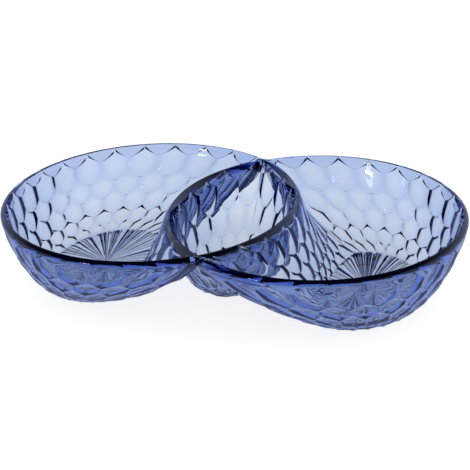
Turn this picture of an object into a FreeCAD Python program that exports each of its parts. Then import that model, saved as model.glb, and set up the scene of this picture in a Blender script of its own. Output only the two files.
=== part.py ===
# Chip and dip server: a tinted clear acrylic dish with two large bowls for the
# chips and a lens-shaped bowl for the dip where the two oval rims overlap.
# Millimetres. X along the two bowls, Y front to back, Z up, table plane at Z = 0.
import FreeCAD, Part
import math
import os

# ---- rim -------------------------------------------------------------------
HEIGHT = 61.5          # table to the top of the rim
HALF_SPACING = 65.0    # object centre to the centre of one rim oval, along X
RIM_A = 114.0          # rim oval half-axis along X, outside
RIM_B = 134.0          # rim oval half-axis along Y, outside
WALL = 3.6             # wall and floor thickness

# ---- flat bases ------------------------------------------------------------
BOWL_BASE_X = 100.4    # object centre to the centre of a chip bowl's base oval
BOWL_BASE_A = 45.8     # chip bowl base half-axis along X
BOWL_BASE_B = 70.7     # chip bowl base half-axis along Y
RIDGE_FOOT_X = 72.0    # object centre to the foot of the ridge wall, underneath
DIP_BASE_A = 22.0      # dip bowl base half-axis along X
DIP_BASE_B = 38.5      # dip bowl base half-axis along Y
FLOOR_INSET = 1.0      # the inside floor is this much smaller than the base
RIDGE_FOOT_INSET = 2.5

# ---- wall profile: how far each level has opened from base (0) to rim (1) ----
PROFILE_TOP = 1.31     # above 1 makes the wall upright under the rim
FOOT_OUTER = 1.54      # the larger, the fuller the wall is near the base
FOOT_HORN = 1.24       # the same where the outer wall meets the ridge wall
FOOT_RIDGE = 1.0       # the same along the middle of the ridge wall
FOOT_DIP = 2.5
OUTER_FADE = 2.0       # radians of rim over which the horn profile fades away
LEVELS = (0.0, 0.001, 0.008, 0.03, 0.07, 0.13, 0.22, 0.34, 0.48, 0.64, 0.80, 0.92, 1.0)

# ---- where two dishes meet ---------------------------------------------------
TRIM = 1.2             # dishes are drawn this much too wide, then trimmed to touch
HOLLOW_TIP_X = 6.0     # a chip bowl's hollow stops this far short of the crossing
BASE_SPLIT = math.radians(70.0)   # where the horns run down to the base outline
HORN_WIDTH = 1.5       # width of the horn at the base outline
ARC_STEPS = 20


def arc(centre_x, a, b, start, end):
    """Points along an oval about (centre_x, 0) between two eccentric angles."""
    angles = [start + (end - start) * i / ARC_STEPS for i in range(ARC_STEPS + 1)]
    return [(centre_x + a * math.cos(u), b * math.sin(u)) for u in angles]


def bow(end_x, end_y, middle_x):
    """Shallow parabola from (end_x, -end_y) through (middle_x, 0) to (end_x, end_y)."""
    spans = [2.0 * i / ARC_STEPS - 1.0 for i in range(ARC_STEPS + 1)]
    return [(end_x + (middle_x - end_x) * (1 - v * v), end_y * v) for v in spans]


def smoothstep(value):
    value = min(max(value, 0.0), 1.0)
    return value * value * (3 - 2 * value)


def opening(level, foot):
    """Share of the way from base outline to rim outline at a share of the height."""
    return (1 - (1 - level) ** PROFILE_TOP) ** (1 / foot)


def foot_values(end, middle, fade):
    """Profile value for each point of an arc, fading from its ends to its middle."""
    values = []
    for i in range(ARC_STEPS + 1):
        from_end = min(i, ARC_STEPS - i) / ARC_STEPS
        values.append(end + (middle - end) * smoothstep(from_end / fade))
    return values


def blend(base, rim, feet, level):
    """Outline at one level, each point part-way from the base to the rim."""
    points = []
    for (x0, y0), (x1, y1), foot in zip(base, rim, feet):
        share = opening(level, foot)
        points.append((x0 + (x1 - x0) * share, y0 + (y1 - y0) * share))
    return points


def smooth_edge(points, z):
    curve = Part.BSplineCurve()
    curve.interpolate([FreeCAD.Vector(x, y, z) for x, y in points])
    return curve.toShape()


def section(first, second, z):
    """Closed wire from two arcs, joined by short straight edges if they don't meet."""
    edges = []
    for here, after in ((first, second), (second, first)):
        edges.append(smooth_edge(here, z))
        if math.dist(here[-1], after[0]) > 0.01:
            edges.append(Part.makeLine(FreeCAD.Vector(*here[-1], z),
                                       FreeCAD.Vector(*after[0], z)))
    return Part.Wire(edges)


def dish_body(base_arcs, rim_arcs, feet, floor_z):
    """Solid that opens from the base outline at floor_z to the rim outline."""
    wires = []
    for level in LEVELS:
        arcs = [blend(*parts, level) for parts in zip(base_arcs, rim_arcs, feet)]
        wires.append(section(*arcs, floor_z + (HEIGHT - floor_z) * level))
    return Part.makeLoft(wires, True, False)


def oval_prism(centre_x, a, b):
    """Upright oval cylinder taller than the dish."""
    curve = Part.Ellipse(FreeCAD.Vector(0, 0, 0), max(a, b), min(a, b)).toShape()
    face = Part.Face(Part.Wire(curve))
    if b > a:
        face.rotate(FreeCAD.Vector(0, 0, 0), FreeCAD.Vector(0, 0, 1), 90)
    face.translate(FreeCAD.Vector(centre_x, 0, -1))
    return face.extrude(FreeCAD.Vector(0, 0, HEIGHT + 2))


def bowl_rim(inset, ridge_inset, tip_x):
    """Crescent: its own oval on the outside, the other bowl's oval on the ridge."""
    a, b = RIM_A - inset, RIM_B - inset
    tip = math.acos((HALF_SPACING + tip_x) / a)
    outside = arc(-HALF_SPACING, a, b, tip, 2 * math.pi - tip)
    a, b = RIM_A - ridge_inset, RIM_B - ridge_inset
    tip = math.acos((HALF_SPACING - tip_x) / a)
    ridge = arc(HALF_SPACING, a, b, math.pi + tip, math.pi - tip)
    return outside, ridge


def bowl_base(inset, foot_inset, horn_width):
    """Base outline: most of an oval, closed by a shallow bow under the ridge."""
    a, b = BOWL_BASE_A - inset, BOWL_BASE_B - inset
    outside = arc(-BOWL_BASE_X, a, b, BASE_SPLIT, 2 * math.pi - BASE_SPLIT)
    end_x, end_y = outside[0]
    ridge = bow(end_x, end_y - horn_width, -RIDGE_FOOT_X - foot_inset)
    return outside, ridge


def left_bowl():
    """Chip bowl on the -X side, hollowed, then trimmed to its two neighbours."""
    fade = OUTER_FADE / (2 * math.pi)
    feet = (foot_values(FOOT_HORN, FOOT_OUTER, fade),
            foot_values(FOOT_HORN, FOOT_RIDGE, 0.5))
    body = dish_body(bowl_base(0.0, 0.0, HORN_WIDTH),
                     bowl_rim(0.0, WALL + TRIM, TRIM), feet, 0.0)
    inner_feet = (foot_values(FOOT_RIDGE, FOOT_OUTER, fade),
                  foot_values(FOOT_RIDGE, FOOT_RIDGE, 0.5))
    hollow = dish_body(bowl_base(FLOOR_INSET, RIDGE_FOOT_INSET, HORN_WIDTH),
                       bowl_rim(WALL, 0.0, -HOLLOW_TIP_X), inner_feet, WALL)
    dip_side = oval_prism(HALF_SPACING, RIM_A - WALL, RIM_B - WALL)
    far_side = Part.makeBox(200, 400, 100, FreeCAD.Vector(0, -200, -10))
    return body.cut(hollow).cut(dip_side).cut(far_side)


def right_bowl():
    """Chip bowl on the +X side: the left bowl seen in a mirror."""
    return left_bowl().mirror(FreeCAD.Vector(0, 0, 0), FreeCAD.Vector(1, 0, 0))


def dip_rim(inset):
    """Lens where the two rim ovals overlap."""
    a, b = RIM_A - inset, RIM_B - inset
    tip = math.acos(HALF_SPACING / a)
    right = arc(-HALF_SPACING, a, b, -tip, tip)
    left = arc(HALF_SPACING, a, b, math.pi - tip, math.pi + tip)
    return right, left


def dip_base(inset):
    a, b = DIP_BASE_A - inset, DIP_BASE_B - inset
    quarter = math.pi / 2
    return arc(0, a, b, -quarter, quarter), arc(0, a, b, quarter, 3 * quarter)


def dip_bowl():
    """Lens-shaped bowl held between the two chip bowls."""
    feet = [foot_values(FOOT_RIDGE, FOOT_DIP, 0.5)] * 2
    body = dish_body(dip_base(0.0), dip_rim(WALL - TRIM), feet, 0.0)
    hollow = dish_body(dip_base(FLOOR_INSET), dip_rim(2 * WALL), feet, WALL)
    for side in (-1, 1):
        body = body.common(oval_prism(side * HALF_SPACING, RIM_A - WALL, RIM_B - WALL))
    return body.cut(hollow)


def main():
    os.makedirs("parts", exist_ok=True)
    for build in (left_bowl, right_bowl, dip_bowl):
        solid = build().Solids[0]
        box = solid.BoundBox
        print(build.__name__, "valid", solid.isValid(), "volume %.0f" % solid.Volume,
              "height %.2f to %.2f" % (box.ZMin, box.ZMax))
        solid.exportStep(os.path.join("parts", build.__name__ + ".step"))


main()
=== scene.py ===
# %% [markdown]
# # A tinted acrylic chip and dip server
#
# The object is a clear, blue-tinted dish with three hollows: two large oval bowls
# whose rims overlap, and a pointed dip bowl in the overlap. It is smooth inside and
# carries a honeycomb of shallow moulded dimples outside. Everything that the eye
# reads as pattern is light bent by those dimples. A printed or bumped pattern on a
# smooth bowl would be quicker, but it wouldn't bend light, so the lesson is about
# shape first and about a glass-like material second.

# %% Load the frame
import math

import bpy
import numpy as np
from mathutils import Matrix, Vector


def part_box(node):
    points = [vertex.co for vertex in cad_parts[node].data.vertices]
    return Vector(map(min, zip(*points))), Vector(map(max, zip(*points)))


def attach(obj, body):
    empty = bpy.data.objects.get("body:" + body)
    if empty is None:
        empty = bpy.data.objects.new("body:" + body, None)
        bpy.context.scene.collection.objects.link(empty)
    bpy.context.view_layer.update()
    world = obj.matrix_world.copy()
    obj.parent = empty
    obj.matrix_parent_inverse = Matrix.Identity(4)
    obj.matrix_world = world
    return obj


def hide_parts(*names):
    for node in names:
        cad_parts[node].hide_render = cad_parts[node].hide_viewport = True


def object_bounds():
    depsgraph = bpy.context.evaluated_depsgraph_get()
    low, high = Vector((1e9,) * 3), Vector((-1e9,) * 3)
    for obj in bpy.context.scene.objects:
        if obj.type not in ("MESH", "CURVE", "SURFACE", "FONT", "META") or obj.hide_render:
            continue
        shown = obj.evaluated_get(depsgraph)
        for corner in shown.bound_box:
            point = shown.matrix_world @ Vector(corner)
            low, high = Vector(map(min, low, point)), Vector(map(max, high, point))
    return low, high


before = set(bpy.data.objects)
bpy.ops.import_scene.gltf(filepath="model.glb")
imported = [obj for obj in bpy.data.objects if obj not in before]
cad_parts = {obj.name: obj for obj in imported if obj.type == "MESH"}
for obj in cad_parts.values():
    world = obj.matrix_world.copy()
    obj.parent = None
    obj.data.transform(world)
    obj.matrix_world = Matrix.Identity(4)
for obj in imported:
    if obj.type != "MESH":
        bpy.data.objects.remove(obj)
cad_low, cad_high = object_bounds()
print("CAD nodes:", ", ".join(sorted(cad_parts)))
print("CAD box, mm:", [round(1000 * (h - l), 1) for l, h in zip(cad_low, cad_high)])

# %% [markdown]
# ## Driving sizes
#
# The two rims are ovals of one size. They could be typed in again here, but then the
# dish would no longer follow the CAD model. So their half-axes and spacing are worked
# out from the box of the whole dish and the box of the dip bowl. Only what a box
# can't say is stated: the shapes of the bases and how full the walls are.

# %% Driving sizes
MM = 0.001
WALL = 3.6 * MM
GAP = 0.12 * MM        # half the air left between two dishes where they meet
dip_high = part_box("dip_bowl")[1]
HALF_LENGTH = cad_high.x
RIM_B = cad_high.y                                 # rim oval, half-axis along Y
HEIGHT = cad_high.z
RIM_A = (HALF_LENGTH + dip_high.x + WALL) / 2      # rim oval, half-axis along X
SPACING = (HALF_LENGTH - dip_high.x - WALL) / 2    # dish centre to oval centre

# A chip bowl's base: the centre and half-axes of its oval, and its side by the ridge.
BOWL_BASE_X, BOWL_BASE_A, BOWL_BASE_B = 100.4 * MM, 45.8 * MM, 70.7 * MM
RIDGE_FOOT_X = 72.0 * MM
BASE_SPLIT = math.radians(70)      # where the base's oval hands over to that side
DIP_BASE_A, DIP_BASE_B = 22.0 * MM, 38.5 * MM

# Fullness of the walls: 1 is the leanest, and a fuller wall rises later and steeper.
PROFILE_TOP = 1.31
FOOT_OUTER, FOOT_HORN, FOOT_RIDGE, FOOT_DIP = 1.54, 1.24, 1.0, 2.5
OUTER_SPAN, RIDGE_SPAN = 0.32, 0.5     # share of an arc over which fullness changes
print("rim oval %.1f x %.1f mm, spacing %.1f" % (RIM_A / MM, RIM_B / MM, SPACING / MM))

# %% [markdown]
# ## Outlines
#
# A moulded dish is a closed outline that changes from its base to its rim. It could be
# lofted between curves in the viewport, but then nobody knows where the points fall,
# and the honeycomb needs to know. So every outline is a chain of points with the same
# count, and a wall is a straight blend between two chains: the share of the way is
# what the wall profile says.

# %% Outline helpers
SAMPLES = 2001      # points at which an arc or a profile is measured
TINY = 1e-12        # keeps a length that is divided by off zero


def oval_at(centre_x, a, b, angle):
    """Points of an oval about (centre_x, 0): centre + (a cos, b sin) of each angle."""
    return np.stack([centre_x + a * np.cos(angle), b * np.sin(angle)], -1)


def oval_arc(centre_x, a, b, start, end, share):
    """Points at these shares of the length of an oval's arc from start to end."""
    angle = np.linspace(start, end, SAMPLES)
    step = np.hypot(a * np.sin(angle), b * np.cos(angle))
    length = np.concatenate([[0], np.cumsum((step[1:] + step[:-1]) / 2)])
    return oval_at(centre_x, a, b, np.interp(share * length[-1], length, angle))


def bow(end_x, end_y, middle_x, share):
    """A parabola from (end_x, -end_y) by (middle_x, 0) to (end_x, end_y)."""
    v = 2 * share - 1
    return np.stack([end_x + (middle_x - end_x) * (1 - v * v), end_y * v], -1)


def crossing(a1, b1, a2, b2):
    """Where the left oval (a1, b1) crosses the right oval (a2, b2), as (x, y > 0).

    Both heights y = b sqrt(1 - (x / a)^2) are compared along X, and the nearest win.
    """
    x = np.linspace(-RIM_A / 4, RIM_A / 4, 2 * SAMPLES - 1)     # near the middle plane
    y1 = b1 * np.sqrt(1 - ((x + SPACING) / a1) ** 2)
    y2 = b2 * np.sqrt(1 - ((x - SPACING) / a2) ** 2)
    best = np.argmin(np.abs(y1 - y2))
    return x[best], y1[best]


def smooth_loop(points, width):
    """Round a closed chain's corners: a running mean, weighted by exp(-(k / width)^2 / 2).

    k counts points away from the one that is being moved.
    """
    reach = int(3 * width) + 1
    offsets = np.arange(-reach, reach + 1)
    weights = np.exp(-0.5 * (offsets / width) ** 2)
    weights /= weights.sum()
    return sum(w * np.roll(points, k, axis=0) for w, k in zip(weights, offsets))


def fade(share, end, middle, span):
    """A value along an arc: end at both ends, middle beyond span of its length.

    Between the two it follows the smooth step 3 t^2 - 2 t^3.
    """
    near = np.clip(np.minimum(share, 1 - share) / span, 0, 1)
    return end + (middle - end) * near * near * (3 - 2 * near)


def opening(level, foot):
    """Wall profile: 1 - (1 - level)^top, to the power 1 / foot. 0 at base, 1 at rim."""
    return (1 - (1 - level) ** PROFILE_TOP) ** (1 / foot)


print("the rims cross %.1f mm from the middle" % (crossing(RIM_A, RIM_B, RIM_A, RIM_B)[1] / MM))
print("half way up, a full wall is %.2f of the way out" % opening(0.5, FOOT_OUTER))

# %% [markdown]
# ## The chip bowl's outlines
#
# Seen from above the left chip bowl is a crescent: its outside follows its own oval and
# its ridge side follows the other bowl's. Cutting one oval bowl with another by a
# boolean gives the same crescent, with a ragged edge where they meet. Here the two arcs
# are drawn from the same ovals that the neighbours use, so one dish hands over to the
# next along one curve. Twenty columns of hexagons fit round the outside and nine along
# the ridge, and the columns fan towards the ridge on their way down.

# %% Chip bowl outlines
# Grid points across half a column, closer together near its edge and its middle line.
HALF_CELL = np.array([0, .035, .1, .2, .32, .45, .58, .7, .82, .92])
CELL_NODES = np.concatenate([HALF_CELL / 2, 0.5 + HALF_CELL / 2])
OUTER_CELLS, RIDGE_CELLS, DIP_CELLS = 20, 9, 9
FAN = math.radians(13)      # most that a column leans round the base


def columns_of(cells):
    """Column coordinate of every grid point along an arc of this many cells."""
    return (np.arange(cells)[:, None] + CELL_NODES[None, :]).ravel()


outer_share = columns_of(OUTER_CELLS) / OUTER_CELLS
ridge_share = columns_of(RIDGE_CELLS) / RIDGE_CELLS
dip_share = columns_of(DIP_CELLS) / DIP_CELLS


def crescent(outer_inset, ridge_inset):
    """Rim outline of the left bowl, anticlockwise from the back horn.

    Each oval is drawn in by its inset, and each arc ends where the two ovals cross.
    """
    outer = RIM_A - outer_inset, RIM_B - outer_inset
    ridge = RIM_A - ridge_inset, RIM_B - ridge_inset
    tip_x, _ = crossing(*outer, *ridge)
    turn = math.acos((tip_x + SPACING) / outer[0])
    back = math.acos((SPACING - tip_x) / ridge[0])
    return np.concatenate([
        oval_arc(-SPACING, *outer, turn, 2 * math.pi - turn, outer_share),
        oval_arc(SPACING, *ridge, math.pi + back, math.pi - back, ridge_share)])


def crescent_base(inset, ridge_inset):
    """Base outline of the left bowl: most of an oval, closed by a shallow bow.

    The angle grows evenly from one end to the other, less FAN times a full sine wave.
    """
    a, b = BOWL_BASE_A - inset, BOWL_BASE_B - inset
    angle = (BASE_SPLIT + 2 * (math.pi - BASE_SPLIT) * outer_share
             - FAN * np.sin(2 * math.pi * outer_share))
    outer = oval_at(-BOWL_BASE_X, a, b, angle)
    end_x, end_y = outer[0]
    return np.concatenate([outer, bow(end_x, end_y, -RIDGE_FOOT_X - ridge_inset,
                                      ridge_share)])


def bowl_feet(horn, ridge):
    """Profile fullness for each point of a chip bowl's outline: horn at both horns."""
    return np.concatenate([fade(outer_share, horn, FOOT_OUTER, OUTER_SPAN),
                           fade(ridge_share, horn, ridge, RIDGE_SPAN)])


print("points round a chip bowl:", len(crescent(0, 0)))

# %% [markdown]
# ## The dip bowl's outlines
#
# The dip bowl fills the overlap of the two ovals, a lens with a point at the front and
# one at the back. A sphere squashed to fit would miss those points. The lens is drawn
# as two arcs instead, the right half on the left oval and the left half on the right
# one, and it blends into a small oval base.

# %% Dip bowl outlines


def lens(inset):
    """Rim outline of the dip bowl, anticlockwise from the front tip."""
    a, b = RIM_A - inset, RIM_B - inset
    turn = math.acos(SPACING / a)
    return np.concatenate([
        oval_arc(-SPACING, a, b, -turn, turn, dip_share),
        oval_arc(SPACING, a, b, math.pi - turn, math.pi + turn, dip_share)])


def lens_base(inset):
    """Base outline of the dip bowl, from the front tip."""
    angle = np.concatenate([dip_share, 1 + dip_share]) * math.pi - math.pi / 2
    return oval_at(0, DIP_BASE_A - inset, DIP_BASE_B - inset, angle)


def dip_feet():
    """Profile fullness for each point of the dip bowl's outline: leanest at its tips."""
    return np.tile(fade(dip_share, FOOT_RIDGE, FOOT_DIP, RIDGE_SPAN), 2)


print("dip bowl's lens, mm:", np.round(np.ptp(lens(0), axis=0) / MM, 1))

# %% [markdown]
# ## From outlines to walls
#
# The walls of a moulded bowl have a smooth inside and a patterned outside, so a skin
# with a Solidify modifier won't do: it would press the pattern through to the inside.
# Each side is a grid of its own instead. One direction runs round the outline, and the
# other climbs from the base to the rim. The whole dish is one closed stack of rings:
# base centre, outside wall, lip, inside wall, floor centre.

# %% Wall grid


def wall(base, rim, feet, z, low_z, high_z):
    """Blend two outlines by height: base + (rim - base) times the profile at z.

    z is (level, round), and the result is (level, round, xyz).
    """
    level = (z - low_z) / (high_z - low_z)
    share = opening(level, feet[None, :])[..., None]
    return np.concatenate([base[None] + (rim - base)[None] * share, z[..., None]], -1)


def even_heights(base, rim, foot, low_z, high_z, top_z, count):
    """Heights up to top_z, evenly spaced along the wall where it leans out furthest."""
    level = np.linspace(0, (top_z - low_z) / (high_z - low_z), SAMPLES)
    run = np.linalg.norm(rim - base, axis=1).max() * np.diff(opening(level, foot))
    length = np.cumsum(np.hypot(run, np.diff(level) * (high_z - low_z)))
    length = np.concatenate([[0], length])
    level = np.interp(np.linspace(0, length[-1], count), length, level)
    return np.repeat((low_z + level * (high_z - low_z))[:, None], len(base), axis=1)


def normals(grid):
    """Outward unit normals of a grid: the way round crossed with the way up."""
    round_way = np.roll(grid, -1, axis=1) - np.roll(grid, 1, axis=1)
    up_way = np.gradient(grid, axis=0)
    out = np.cross(round_way, up_way)
    return out / np.maximum(np.linalg.norm(out, axis=-1, keepdims=True), TINY)


# %% [markdown]
# ## The honeycomb
#
# The outside carries hexagons with a point at the top, in columns that follow the wall
# down and rows at set heights. They could be a bump texture, which bends no light at
# an outline, or holes cut by booleans, which leave thin, broken faces. Here the grid
# is bent so that its own lines run along the hexagons' edges: a row of the grid starts
# on one zigzag and ends on the next, half a column out of step.
#
# Each hexagon is a shallow scoop. It is deepest in its upper half and runs out shallow
# at its lower edge. At its top it bites under the cell above with a step that is
# tallest at the point and dies away to the sides. Light is trapped in that step, and
# it shows as a dark chevron. The first and fourth rows bite hard, and the second and
# third hardly at all.

# %% Honeycomb grid
ROW_TOPS = np.array([57.2, 38.5, 26.8, 13.6, 5.8]) * MM    # height of each row's points
DIP_ROW_TOPS = np.array([57.2, 39.0, 16.4, 5.8]) * MM
ZIGZAG = 0.36           # drop from point to side corner, as a share of the row
CURL = 1.5              # above 1, the chevron's arms are hollow like a brace
STEP, STEP_SIDE = 2.0 * MM, 0.15 * MM   # height of a step at the point and the sides
BITE = (0.9, 0.32, 0.32, 1.2, 0.6)      # depth share at the top of each row
SCOOP = 2.0 * MM        # depth of a scoop in the widest row
LOW_SHARE, DEEPEST = 0.25, 0.4          # depth share at the foot; where it is deepest
SIDE_POWER = 2.6        # above 2, a scoop's sides are steeper than its middle
ROW_NODES = np.array([0, .05, .13, .24, .37, .5, .63, .76, .88, .96, 1])
BAND_NODES = np.array([0, .12, .35, .65, .9, 1])     # the plain band under the lip


def zigzag(column, tops, row, edge):
    """Height of the line above a row: its apex less a drop of 1 - side^CURL.

    side is 1 at the apex and 0 at the cell's corners. edge is +1 for the line's upper
    edge and -1 for its lower one. The two are a step apart, which grows as side^2.
    """
    if row == len(tops):
        return np.zeros_like(column)
    apex = tops[row]
    below = tops[row + 1] if row + 1 < len(tops) else 0.0
    side = 1 - 2 * np.abs((column + 0.5 * (row % 2)) % 1 - 0.5)   # 0 side, 1 apex
    drop = ZIGZAG * (apex - below) * (1 - side ** CURL)
    return apex - drop + edge / 2 * (STEP_SIDE + (STEP - STEP_SIDE) * side ** 2)


def scoop(column, row, share):
    """Depth share of a scoop: 1 - |across|^SIDE_POWER, times a curve down the cell.

    That curve is two half parabolas, from BITE to 1 at DEEPEST and on to LOW_SHARE.
    """
    across = 2 * ((column + 0.5 * (row % 2)) % 1) - 1
    above = (1 - (1 - BITE[row]) * (1 - share / DEEPEST) ** 2)
    under = (1 - (1 - LOW_SHARE) * ((share - DEEPEST) / (1 - DEEPEST)) ** 2)
    down = np.where(share < DEEPEST, above, under)
    return (1 - np.abs(across) ** SIDE_POWER) * down


def honeycomb(column, tops, top_z):
    """Heights and scoop depths of every grid row, from the base up to top_z."""
    heights, depths = [], []
    first = zigzag(column, tops, 0, 1)
    for share in BAND_NODES:
        heights.append(top_z + (first - top_z) * share)
        depths.append(0 * column)
    for row in range(len(tops)):
        upper, lower = zigzag(column, tops, row, -1), zigzag(column, tops, row + 1, 1)
        for share in ROW_NODES:
            heights.append(upper + (lower - upper) * share)
            depths.append(scoop(column, row, share))
    return np.array(heights)[::-1], np.array(depths)[::-1]


def carve(grid, depths):
    """Push the wall inwards by its scoops, times the square root of the ring's share.

    A ring's share is its length over the longest one's, so narrow cells are shallower.
    """
    ring = np.linalg.norm(np.roll(grid, -1, axis=1) - grid, axis=-1).sum(axis=1)
    narrow = np.sqrt(ring / ring.max())[:, None]
    return grid - normals(grid) * (SCOOP * narrow * depths)[..., None]


print("hexagon rows: %d outside a chip bowl, %d outside the dip bowl"
      % (ROW_TOPS.size, DIP_ROW_TOPS.size))

# %% [markdown]
# ## Base and floor
#
# The inside floor is flat and plain. The underside is a sunburst of sharp flutes,
# three to a column and unevenly spaced, that run to its centre: seen through the floor
# they are the streaks. A wave texture could draw streaks, but not bend what lies
# beneath, so they are ridges in the base cap, which rises by |sin| between them.

# %% Base and floor
FLUTE = 0.20            # height of a flute as a share of its width
FLUTES_PER_CELL = 3
RAGGED, RAGGED_BEAT = 0.3, 0.37     # how uneven the spacing is, and how fast it drifts


def floor_cap(ring, rings):
    """Rings that shrink a flat outline to its middle: middle + (ring - middle)(1 - t)."""
    middle = ring.mean(axis=0)
    share = np.linspace(0, 1, rings + 1)[1:]
    return middle + (ring - middle)[None] * (1 - share)[:, None, None]


def base_cap(ring, rings, column):
    """A shrinking outline that rises by |sin| of the column, FLUTE of a flute's width.

    The column is first shifted by a product of two sines, nothing at whole columns.
    """
    grid = floor_cap(ring, rings)
    around = np.linalg.norm(np.roll(grid, -1, axis=1) - grid, axis=-1).sum(axis=1)
    width = around / (column.size / CELL_NODES.size * FLUTES_PER_CELL)
    shift = (RAGGED * np.sin(math.pi * column)
             * np.sin(RAGGED_BEAT * math.pi * column))
    grid[..., 2] += FLUTE * width[:, None] * np.abs(
        np.sin(math.pi * FLUTES_PER_CELL * (column + shift)))[None]
    return grid


print("flutes under a chip bowl:", FLUTES_PER_CELL * (OUTER_CELLS + RIDGE_CELLS))

# %% [markdown]
# ## Lip
#
# The rim is rounded on its outer side and falls in a nearly straight slope on its
# inner side. A bead swept along the rim would be easier, but it would be a second
# solid inside the first. The lip has to be one skin with both walls, because light
# that enters it is trapped between them and runs down: that is the dark line of the
# rim. On the ridge the crest lies almost on the seam between two bowls.

# %% Lip
LIP_OUT, LIP_IN, CREST = 3.2 * MM, 6.6 * MM, 0.6     # outer rise, inner fall, crest
RIDGE_LIP_OUT, RIDGE_CREST = 0.3 * MM, 0.12
RIM_WALL = 5.4 * MM     # the wall of a chip bowl is thicker at the mouth
LIP_FLAT = 0.7          # how straight the inner slope is: 0 round, 1 straight
LIP_RINGS = 6


def lip(outside, inside, crest, count=LIP_RINGS):
    """A quarter-oval up from the outside ring, then a slope down to the inside ring.

    Across runs from 0 outside to 1 inside and is crest at the top.
    """
    angle = np.linspace(0, math.pi / 2, count + 1)[:, None]
    rise = crest * (1 - np.cos(angle[1:]))
    slide = np.linspace(0, 1, count + 1)[1:-1, None]
    fall = crest + (1 - crest) * slide
    across = np.concatenate([rise, fall])[..., None]
    grid = outside[None] + (inside - outside)[None] * across
    up = outside[:, 2] + (HEIGHT - outside[:, 2]) * np.sin(angle[1:])
    sag = LIP_FLAT * slide + (1 - LIP_FLAT) * (1 - np.sqrt(1 - slide ** 2))
    down = HEIGHT - (HEIGHT - inside[:, 2]) * sag
    grid[..., 2] = np.concatenate([up, down])
    return grid


print("lip, mm: %.1f up outside, %.1f down inside" % (LIP_OUT / MM, LIP_IN / MM))

# %% [markdown]
# ## From rings to a mesh
#
# Moulded acrylic is polished, so its faces are smooth, but its steps and flutes are
# sharp. Each ring is joined to the next by quads, and the first and last rings, shrunk
# to a point, are closed by triangles. Everything is then shaded smooth except edges
# that turn by more than a set angle: with smooth shading alone the bent light would
# smear over the steps, and with flat shading every quad would glint.

# %% Mesh from rings
CREASE = math.radians(28)


def shell(name, rings, flip=False):
    """Closed mesh from a stack of rings, whose first and last rings are single points.

    Point k of a ring joins k + 1, and both join the same two of the next ring. flip
    turns the faces of a mirrored stack, so that they point outwards again.
    """
    first, last = rings[0].mean(axis=0), rings[-1].mean(axis=0)
    body = rings[1:-1]
    levels, around = body.shape[:2]
    points = np.concatenate([body.reshape(-1, 3), [first, last]])
    here = np.arange(around)
    after = np.roll(here, -1)
    row = (np.arange(levels - 1) * around)[:, None]
    quads = np.stack([row + here, row + after, row + around + after,
                      row + around + here], -1).reshape(-1, 4)
    pole = levels * around
    top = (levels - 1) * around
    fans = np.concatenate([
        np.stack([np.full(around, pole), after, here], -1),
        np.stack([np.full(around, pole + 1), top + here, top + after], -1)])
    if flip:
        quads, fans = quads[:, ::-1], fans[:, ::-1]
    mesh = bpy.data.meshes.new(name)
    mesh.from_pydata(points.tolist(), [], quads.tolist() + fans.tolist())
    mesh.validate()
    mesh.shade_smooth()
    mesh.set_sharp_from_angle(angle=CREASE)
    piece = bpy.data.objects.new(name, mesh)
    bpy.context.scene.collection.objects.link(piece)
    return piece


# %% [markdown]
# ## Room between neighbours
#
# Three dishes that share a curve must not share space: two skins of acrylic in one
# place would confuse the light. They could be trimmed with booleans after they are
# made. It is simpler to move the few points that stray: a point inside the forbidden
# oval is scaled out to it, and one outside an allowed oval is scaled in.

# %% Room between neighbours


def keep_clear(grid, side):
    """Push points out of the neighbour's rim oval, less a wall, and off the middle plane.

    A point at reach r < 1 of the oval, measured from its centre, is scaled by 1 / r.
    """
    a, b = RIM_A - WALL + GAP, RIM_B - WALL + GAP
    x, y = grid[..., 0] - side * SPACING, grid[..., 1]
    reach = np.sqrt((x / a) ** 2 + (y / b) ** 2)
    push = np.where(reach < 1, 1 / np.maximum(reach, TINY), 1)
    grid[..., 0] = np.minimum(side * SPACING + x * push, -GAP)
    grid[..., 1] = y * push
    return grid


def keep_within(grid, side):
    """Pull points at reach r > 1 into a rim oval, less a wall and the gap, by 1 / r."""
    a, b = RIM_A - WALL - GAP, RIM_B - WALL - GAP
    x, y = grid[..., 0] - side * SPACING, grid[..., 1]
    reach = np.sqrt((x / a) ** 2 + (y / b) ** 2)
    pull = np.where(reach > 1, 1 / reach, 1)
    grid[..., 0] = side * SPACING + x * pull
    grid[..., 1] = y * pull
    return grid


# %% [markdown]
# ## Chip bowls
#
# The two large bowls are mirror images that meet where their rims cross. Every part of
# a dish is now a stack of rings, and a dish is those stacks on top of each other. The
# right bowl could be a Mirror modifier, but the two are separate pieces with names of
# their own, so its rings are the left bowl's with X turned round.

# %% Chip bowls
INSIDE_LEVELS, BASE_RINGS, FLOOR_RINGS = 34, 14, 10
TRIM = 1.2 * MM         # the ridge is drawn this far past its seam, then pushed back
FLOOR_INSET, RIDGE_FOOT_INSET = 1 * MM, 2.5 * MM     # floor outline, in from the base
# How far each outline's corners are rounded, in grid points.
BASE_ROUND, RIM_ROUND, FLOOR_ROUND, MOUTH_ROUND = 1.0, 0.8, 4.0, 3.0
chip_columns = np.concatenate([columns_of(OUTER_CELLS), columns_of(RIDGE_CELLS)])
dip_columns = np.tile(columns_of(DIP_CELLS), 2)


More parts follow.
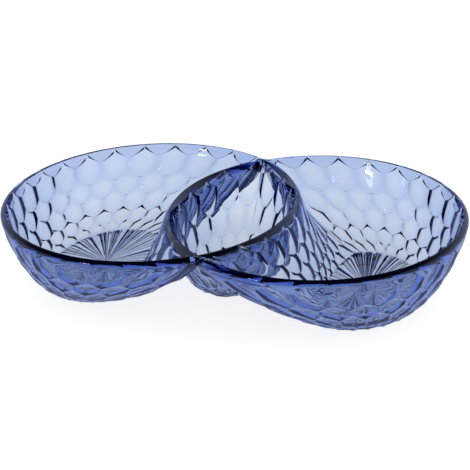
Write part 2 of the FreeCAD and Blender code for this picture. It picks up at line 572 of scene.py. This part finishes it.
def dish(outlines, feet, columns, tops, lip_out, crest, clear):
    """Stack base cap, carved outside, lip, inside wall and floor into one shell."""
    base, rim, floor_line, mouth = outlines
    out_feet, in_feet = feet
    top = HEIGHT - lip_out
    heights, depths = honeycomb(columns, tops, top)
    outside = wall(base, rim, out_feet, heights, 0, top)
    outside = clear(carve(clear(outside), depths))
    heights = even_heights(floor_line, mouth, FOOT_OUTER, WALL, HEIGHT,
                           HEIGHT - LIP_IN, INSIDE_LEVELS)
    inside = wall(floor_line, mouth, in_feet, heights, WALL, HEIGHT)
    edge = clear(lip(outside[-1], inside[-1], crest))
    return np.concatenate([base_cap(outside[0], BASE_RINGS, columns)[::-1], outside,
                           edge, inside[::-1], floor_cap(inside[0], FLOOR_RINGS)])


def by_side(outer, ridge):
    """One value on a chip bowl's outside and another along its ridge."""
    return np.concatenate([np.full(outer_share.size, outer),
                           np.full(ridge_share.size, ridge)])


def chip_bowl_rings():
    """The left chip bowl as a stack of rings, kept out of its neighbour's rim oval."""
    outlines = (smooth_loop(crescent_base(0, 0), BASE_ROUND),
                smooth_loop(crescent(0, WALL + TRIM), RIM_ROUND),
                smooth_loop(crescent_base(FLOOR_INSET, RIDGE_FOOT_INSET), FLOOR_ROUND),
                smooth_loop(crescent(RIM_WALL, 0), MOUTH_ROUND))
    feet = bowl_feet(FOOT_HORN, FOOT_RIDGE)
    return dish(outlines, (feet, feet), chip_columns, ROW_TOPS,
                by_side(LIP_OUT, RIDGE_LIP_OUT), by_side(CREST, RIDGE_CREST),
                lambda grid: keep_clear(grid, 1))


left_rings = chip_bowl_rings()
right_rings = left_rings * np.array([-1, 1, 1])
left_bowl = shell("left_chip_bowl", left_rings)
right_bowl = shell("right_chip_bowl", right_rings, flip=True)
print("chip bowl faces", len(left_bowl.data.polygons))

# %% [markdown]
# ## Dip bowl
#
# The small bowl for the dip lies in the overlap, and its rim is the inner half of the
# ridge. It could be cut out of a chip bowl, but it has a wall of its own all round, so
# it is a dish like the others with a lens for an outline. Its outside starts one wall
# in from the rim ovals, where the chip bowls end, and its mouth lies two walls in.

# %% Dip bowl
DIP_MOUTH = 2 * WALL


def dip_bowl_rings():
    """The dip bowl as a stack of rings, kept within both rim ovals."""
    outlines = (lens_base(0), smooth_loop(lens(WALL - TRIM), RIM_ROUND),
                lens_base(FLOOR_INSET), smooth_loop(lens(DIP_MOUTH), MOUTH_ROUND))
    feet = dip_feet(), dip_feet()
    count = dip_columns.size
    return dish(outlines, feet, dip_columns, DIP_ROW_TOPS,
                np.full(count, RIDGE_LIP_OUT), np.full(count, RIDGE_CREST),
                lambda grid: keep_within(keep_within(grid, 1), -1))


dip_bowl = shell("dip_bowl_shell", dip_bowl_rings())
print("dip bowl faces", len(dip_bowl.data.polygons))

# %% [markdown]
# ## Helpers for materials
#
# A material is a small tree of nodes. Written out call by call it takes a page, so one
# helper adds a node with its settings and its links, and another turns the colours
# that people write, sRGB hex, into the linear values that light is reckoned in.

# %% Material helpers


def linear(hex_colour):
    """sRGB hex to linear RGBA: c / 12.92 when dark, else ((c + 0.055) / 1.055)^2.4."""
    parts = [int(hex_colour[i:i + 2], 16) / 255 for i in (1, 3, 5)]
    return [c / 12.92 if c <= 0.04045 else ((c + 0.055) / 1.055) ** 2.4
            for c in parts] + [1]


def add_node(tree, kind, settings=None, links=None):
    """Add one node, set it up and link its inputs.

    A setting with a name and a text value is an attribute, and any other is an input.
    """
    node = tree.nodes.new(kind)
    for key, value in (settings or {}).items():
        if isinstance(key, str) and isinstance(value, str):
            setattr(node, key, value)
        else:
            node.inputs[key].default_value = value
    for key, socket in (links or {}).items():
        tree.links.new(socket, node.inputs[key])
    return node


def new_material(name):
    """An empty node material, and its tree."""
    material = bpy.data.materials.new(name)
    material.use_nodes = True
    material.node_tree.nodes.clear()
    return material, material.node_tree


# %% [markdown]
# ## Tinted moulded acrylic
#
# The dish is clear acrylic (PMMA) with a blue dye, injected into a polished mould. To
# the eye it is like glass: it bends light by 1.49, and its skin shows sharp highlights.
# The dye is all through it, so a thin wall is a pale periwinkle, and a long path, as
# down the lip, goes navy. A blue surface colour would make thick and thin alike. So
# the skin is nearly white, and the blue is a volume that absorbs light on its way.

# %% Tinted moulded acrylic
ACRYLIC_IOR = 1.49
POLISH = 0.01                   # roughness of a polished mould's surface
SKIN = linear("#f0f0f0")        # a little is lost at each surface
TINT = linear("#509ee7")        # what the dye lets through
TINT_DENSITY = 140.0            # per metre


def tinted_acrylic():
    """Clear skin over an absorbing volume: light falls as exp(-density (1 - tint) d)."""
    material, tree = new_material("tinted_moulded_acrylic")
    surface = add_node(tree, "ShaderNodeBsdfPrincipled", {
        "Base Color": SKIN, "Roughness": POLISH, "IOR": ACRYLIC_IOR,
        "Transmission Weight": 1.0})
    volume = add_node(tree, "ShaderNodeVolumeAbsorption",
                      {"Color": TINT, "Density": TINT_DENSITY})
    add_node(tree, "ShaderNodeOutputMaterial",
             links={"Surface": surface.outputs[0], "Volume": volume.outputs[0]})
    return material


acrylic = tinted_acrylic()
for piece, node in ((left_bowl, "left_bowl"), (right_bowl, "right_bowl"),
                    (dip_bowl, "dip_bowl")):
    piece.data.materials.append(acrylic)
    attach(piece, "root")
    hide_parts(node)
print("one material on three pieces:", acrylic.name)

# %% [markdown]
# ## What reflected light sees
#
# Clear acrylic has no look of its own, only that of the room. In a product
# studio the table and background are white, and dark cards stand out of the picture,
# so that rims and creases come out dark. Real cards would have to be placed for one
# camera angle. Instead the floor and the sky are white to a ray that came straight or
# was only bent, and turn to a pale blue, a blue and a near-black card after one, two
# and three reflections. This is in the studio only, never in the acrylic.

# %% What reflected light sees
WHITE = linear("#ffffff")
CARDS = [linear(colour) for colour in ("#b6c3f0", "#4550a0", "#120a48")]


def surroundings(tree):
    """White for a ray that was never reflected, then one card after each reflection."""
    path = add_node(tree, "ShaderNodeLightPath")
    seen = add_node(tree, "ShaderNodeRGB").outputs[0]
    seen.default_value = WHITE
    for count, card in enumerate(CARDS):
        later = add_node(tree, "ShaderNodeMath",
                         {"operation": "GREATER_THAN", 1: count + 0.5},
                         {0: path.outputs["Glossy Depth"]})
        seen = add_node(tree, "ShaderNodeMix", {"data_type": "RGBA", 7: card},
                        {0: later.outputs[0], 6: seen}).outputs[2]
    return seen


# %% [markdown]
# ## Floor
#
# The dish stands on a seamless white table. A plain diffuse floor would go grey away
# from the lights, and a floor that only glows would take no shadow. This one adds the
# two, so that it is white with a faint shadow. It lies a hair below the dish, because
# two faces in one plane flicker.

# %% Floor
FLOOR_REACH = 6.0
FLOOR_DROP = 0.2 * MM
FLOOR_GREY = linear("#a6a6a6")
FLOOR_GLOW = 0.78

floor_mesh = bpy.data.meshes.new("floor")
floor_mesh.from_pydata([(-FLOOR_REACH, -FLOOR_REACH, 0), (FLOOR_REACH, -FLOOR_REACH, 0),
                        (FLOOR_REACH, FLOOR_REACH, 0), (-FLOOR_REACH, FLOOR_REACH, 0)],
                       [], [(0, 1, 2, 3)])
floor = bpy.data.objects.new("floor", floor_mesh)
bpy.context.scene.collection.objects.link(floor)
floor.location.z = -FLOOR_DROP
floor_material, tree = new_material("pale_floor")
matt = add_node(tree, "ShaderNodeBsdfDiffuse", {"Color": FLOOR_GREY})
glow = add_node(tree, "ShaderNodeEmission", {"Strength": FLOOR_GLOW},
                {"Color": surroundings(tree)})
both = add_node(tree, "ShaderNodeAddShader",
                links={0: matt.outputs[0], 1: glow.outputs[0]})
add_node(tree, "ShaderNodeOutputMaterial", links={"Surface": both.outputs[0]})
floor.data.materials.append(floor_material)
print("floor", 2 * FLOOR_REACH, "m across")

# %% [markdown]
# ## Softbox
#
# A white room gives polished acrylic no highlights, and it looks like jelly. One small
# softbox, high on the left in front, puts a few glints on the lip and the walls. A
# large one would wash out the pattern. Only reflections see it: it doesn't light the
# floor, and the camera can't see it.

# %% Softbox
SOFTBOX_SIZE = 0.22, 0.16
SOFTBOX_WATTS = 1.6
SOFTBOX_PLACE = -0.75, -1.15, 0.95
SOFTBOX_TILT, SOFTBOX_TURN = math.radians(55), math.radians(-33)

box_light = bpy.data.lights.new("softbox", "AREA")
box_light.shape = "RECTANGLE"
box_light.size, box_light.size_y = SOFTBOX_SIZE
box_light.energy = SOFTBOX_WATTS
softbox = bpy.data.objects.new("softbox", box_light)
bpy.context.scene.collection.objects.link(softbox)
softbox.location = SOFTBOX_PLACE
softbox.rotation_euler = (SOFTBOX_TILT, 0, SOFTBOX_TURN)
softbox.visible_camera = softbox.visible_diffuse = False
print("softbox", SOFTBOX_SIZE, "m,", SOFTBOX_WATTS, "W")

# %% [markdown]
# ## Sky
#
# The background is white at the height of the eye and goes dark overhead, as a studio
# does. A sky that is white all over makes the dish look flat, because nothing dark is
# left to reflect. An image of a studio would do it too, but no image is needed: the
# upward part of the direction fades the light. Light that falls on the floor still
# comes from a white sky, so that the floor stays white.

# %% Sky
FADE_FROM, FADE_TO = 0.35, 0.65     # upward part of the direction, 0 level and 1 up
OVERHEAD = 0.03                     # what is left of the light overhead

world = bpy.data.worlds.new("studio")
bpy.context.scene.world = world
world.use_nodes = True
tree = world.node_tree
tree.nodes.clear()
direction = add_node(tree, "ShaderNodeTexCoord")
parts = add_node(tree, "ShaderNodeSeparateXYZ",
                 links={0: direction.outputs["Generated"]})
overhead = add_node(tree, "ShaderNodeMapRange",
                    {"From Min": FADE_FROM, "From Max": FADE_TO,
                     "To Min": 1.0, "To Max": OVERHEAD},
                    {"Value": parts.outputs["Z"]})
path = add_node(tree, "ShaderNodeLightPath")
on_floor = add_node(tree, "ShaderNodeMath", {"operation": "GREATER_THAN", 1: 0.5},
                    {0: path.outputs["Diffuse Depth"]})
strength = add_node(tree, "ShaderNodeMath", {"operation": "MAXIMUM"},
                    {0: overhead.outputs[0], 1: on_floor.outputs[0]})
sky = add_node(tree, "ShaderNodeBackground",
               links={"Color": surroundings(tree), "Strength": strength.outputs[0]})
add_node(tree, "ShaderNodeOutputWorld", links={"Surface": sky.outputs[0]})
print("sky nodes", len(tree.nodes))

# %% [markdown]
# ## Camera
#
# A dish like this is shown from a little above and a little to one side, with a long
# lens, so that the ovals stay ovals. The camera could be aimed with a Track To
# constraint. Two angles and a distance do the same in the open: azimuth turns it round
# the dish, and elevation lifts it.

# %% Camera
AZIMUTH, ELEVATION = math.radians(14.05), math.radians(22.22)
DISTANCE = 1.1537
LENS = 114.3                # millimetres
AIM = np.array([1.14 * MM, 0, HEIGHT - 25.76 * MM])

away = np.array([math.sin(AZIMUTH) * math.cos(ELEVATION),
                 -math.cos(AZIMUTH) * math.cos(ELEVATION), math.sin(ELEVATION)])
camera_data = bpy.data.cameras.new("camera")
camera_data.lens = LENS
camera = bpy.data.objects.new("camera", camera_data)
bpy.context.scene.collection.objects.link(camera)
camera.location = AIM + away * DISTANCE
camera.rotation_euler = (math.pi / 2 - ELEVATION, 0, AZIMUTH)
bpy.context.scene.camera = camera
print("camera at", np.round(AIM + away * DISTANCE, 3))

# %% [markdown]
# ## How far light is followed
#
# Light inside clear acrylic is thrown to and fro many times before it gets out. With
# Blender's usual limits the lip and the ridge would go black too early, so it is
# followed further. The plain colour transform keeps white white.

# %% How far light is followed
BOUNCES, GLOSSY_BOUNCES = 24, 12

scene = bpy.context.scene
scene.view_settings.view_transform = "Standard"
scene.cycles.max_bounces = BOUNCES
scene.cycles.transmission_bounces = BOUNCES
scene.cycles.glossy_bounces = GLOSSY_BOUNCES
scene.cycles.transparent_max_bounces = BOUNCES
print("bounces", BOUNCES, "of which off a surface", GLOSSY_BOUNCES)
